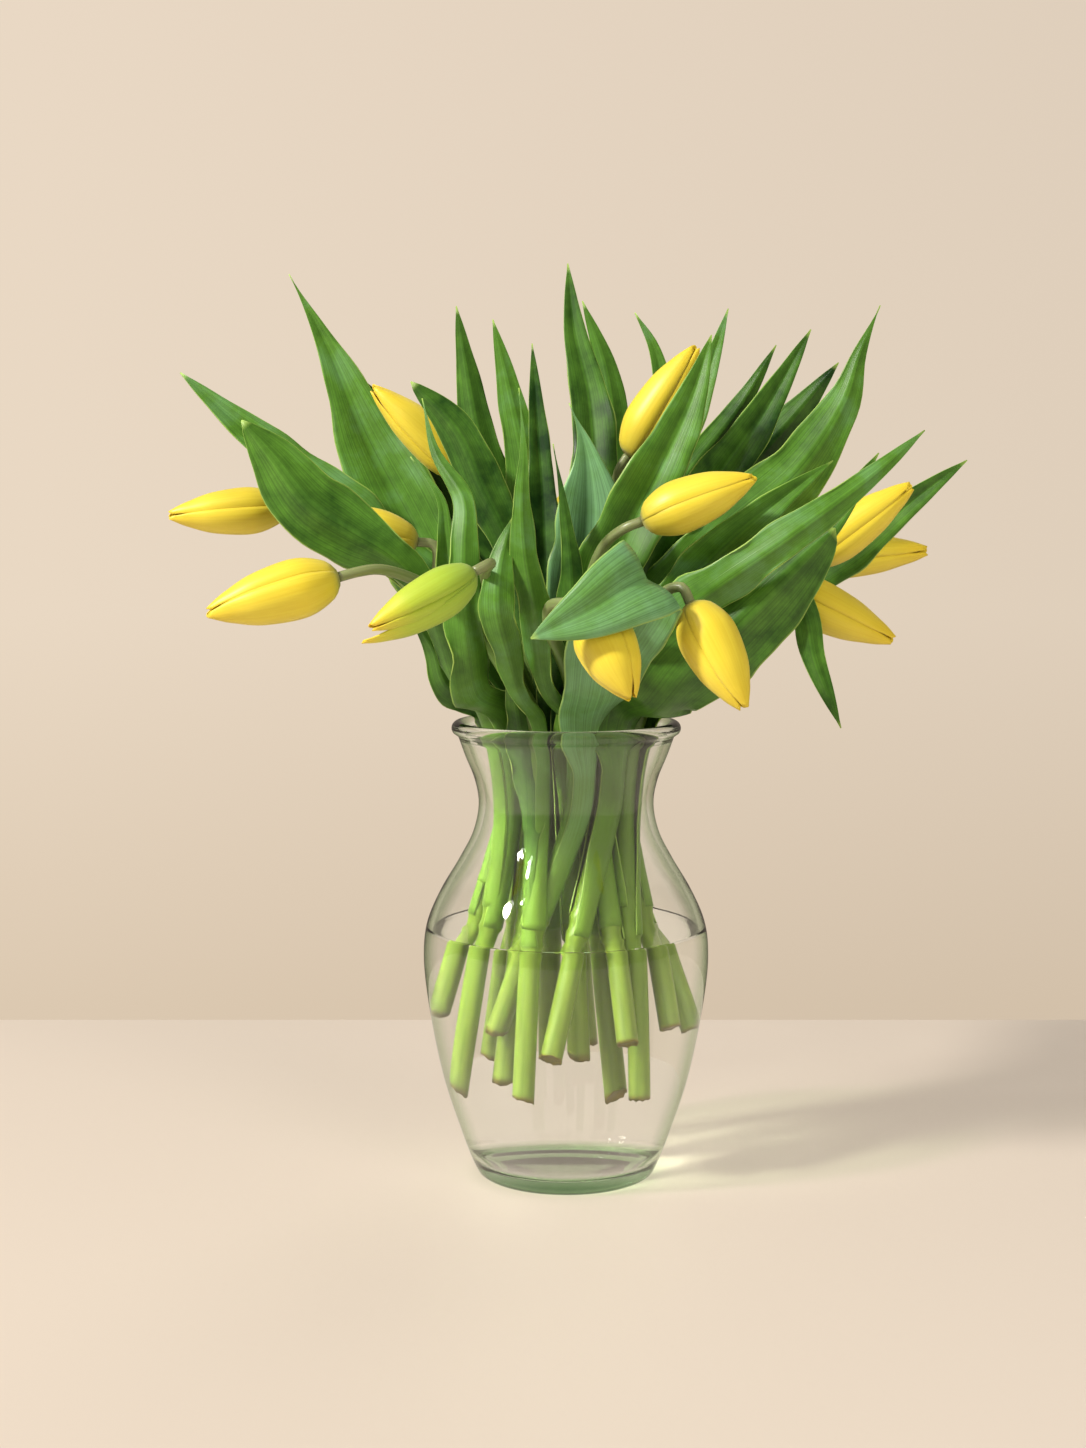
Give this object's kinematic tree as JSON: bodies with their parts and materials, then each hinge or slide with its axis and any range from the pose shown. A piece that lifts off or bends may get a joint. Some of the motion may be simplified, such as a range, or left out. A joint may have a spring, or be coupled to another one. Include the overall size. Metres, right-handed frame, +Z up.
{
  "type": "tulips in a glass vase",
  "caption": "Loose bouquet of closed yellow tulips with long green leaves, standing in a flared clear glass vase half filled with water.",
  "frame": {"origin": "centre of the flat face that the vase stands on", "axes": "+Z up, -Y towards the front of the bouquet as seen in the picture, +X to the right as seen from the front"},
  "size_m": [0.35, 0.2613, 0.4061],
  "materials": {
    "vase_glass": "clear pressed soda-lime glass with a faint green cast, polished",
    "water": "clear still water",
    "tulip_leaf": "waxy living tulip leaf and stem, satin with a bluish bloom",
    "bud_petal": "smooth satin yellow petal",
    "green_petal": "unripe yellow-green petal, satin"
  },
  "bodies": {
    "root": {"vase": "vase_glass", "water": "water", "tulip_01_stem": "tulip_leaf", "tulip_02_stem": "tulip_leaf", "tulip_03_stem": "tulip_leaf", "tulip_04_stem": "tulip_leaf", "tulip_05_stem": "tulip_leaf", "tulip_06_stem": "tulip_leaf", "tulip_07_stem": "tulip_leaf", "tulip_08_stem": "tulip_leaf", "tulip_09_stem": "tulip_leaf", "tulip_10_stem": "tulip_leaf", "tulip_11_stem": "tulip_leaf", "tulip_12_stem": "tulip_leaf", "tulip_13_stem": "tulip_leaf", "tulip_14_stem": "tulip_leaf", "tulip_15_stem": "tulip_leaf", "tulip_01_bloom": "bud_petal", "tulip_02_bloom": "bud_petal", "tulip_03_bloom": "bud_petal", "tulip_04_bloom": "bud_petal", "tulip_05_bloom": "green_petal", "tulip_06_bloom": "bud_petal", "tulip_07_bloom": "bud_petal", "tulip_08_bloom": "bud_petal", "tulip_09_bloom": "bud_petal", "tulip_10_bloom": "bud_petal", "tulip_11_bloom": "bud_petal", "tulip_12_bloom": "bud_petal", "tulip_13_bloom": "bud_petal", "tulip_14_bloom": "bud_petal", "tulip_15_bloom": "bud_petal"}
  },
  "joints": []
}
